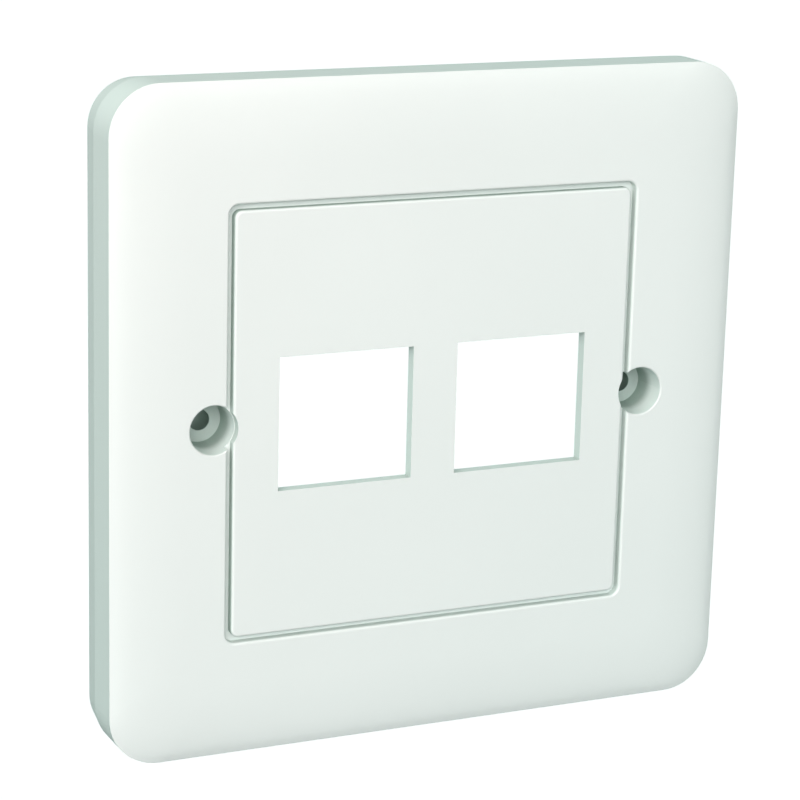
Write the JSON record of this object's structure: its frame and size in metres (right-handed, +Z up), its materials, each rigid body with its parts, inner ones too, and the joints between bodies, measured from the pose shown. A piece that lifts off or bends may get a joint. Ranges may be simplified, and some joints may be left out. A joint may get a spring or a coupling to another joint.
{
  "type": "keystone faceplate",
  "caption": "Square pillowed wiring faceplate: a screwed-on surround frame with a flush snap-in panel that has rectangular cut-outs for snap-in data jacks.",
  "frame": {"origin": "centre of the back rim, on the wall plane, midway between the two screw holes", "axes": "+X right, +Z up the wall, +Y into the wall; the face looks along -Y"},
  "size_m": [0.087, 0.0109, 0.087],
  "materials": {
    "frame_plastic": "satin-gloss moulded white thermoset",
    "panel_plastic": "satin-gloss moulded white plastic"
  },
  "bodies": {
    "root": {"surround_frame": "frame_plastic", "insert_panel": "panel_plastic"}
  },
  "joints": []
}
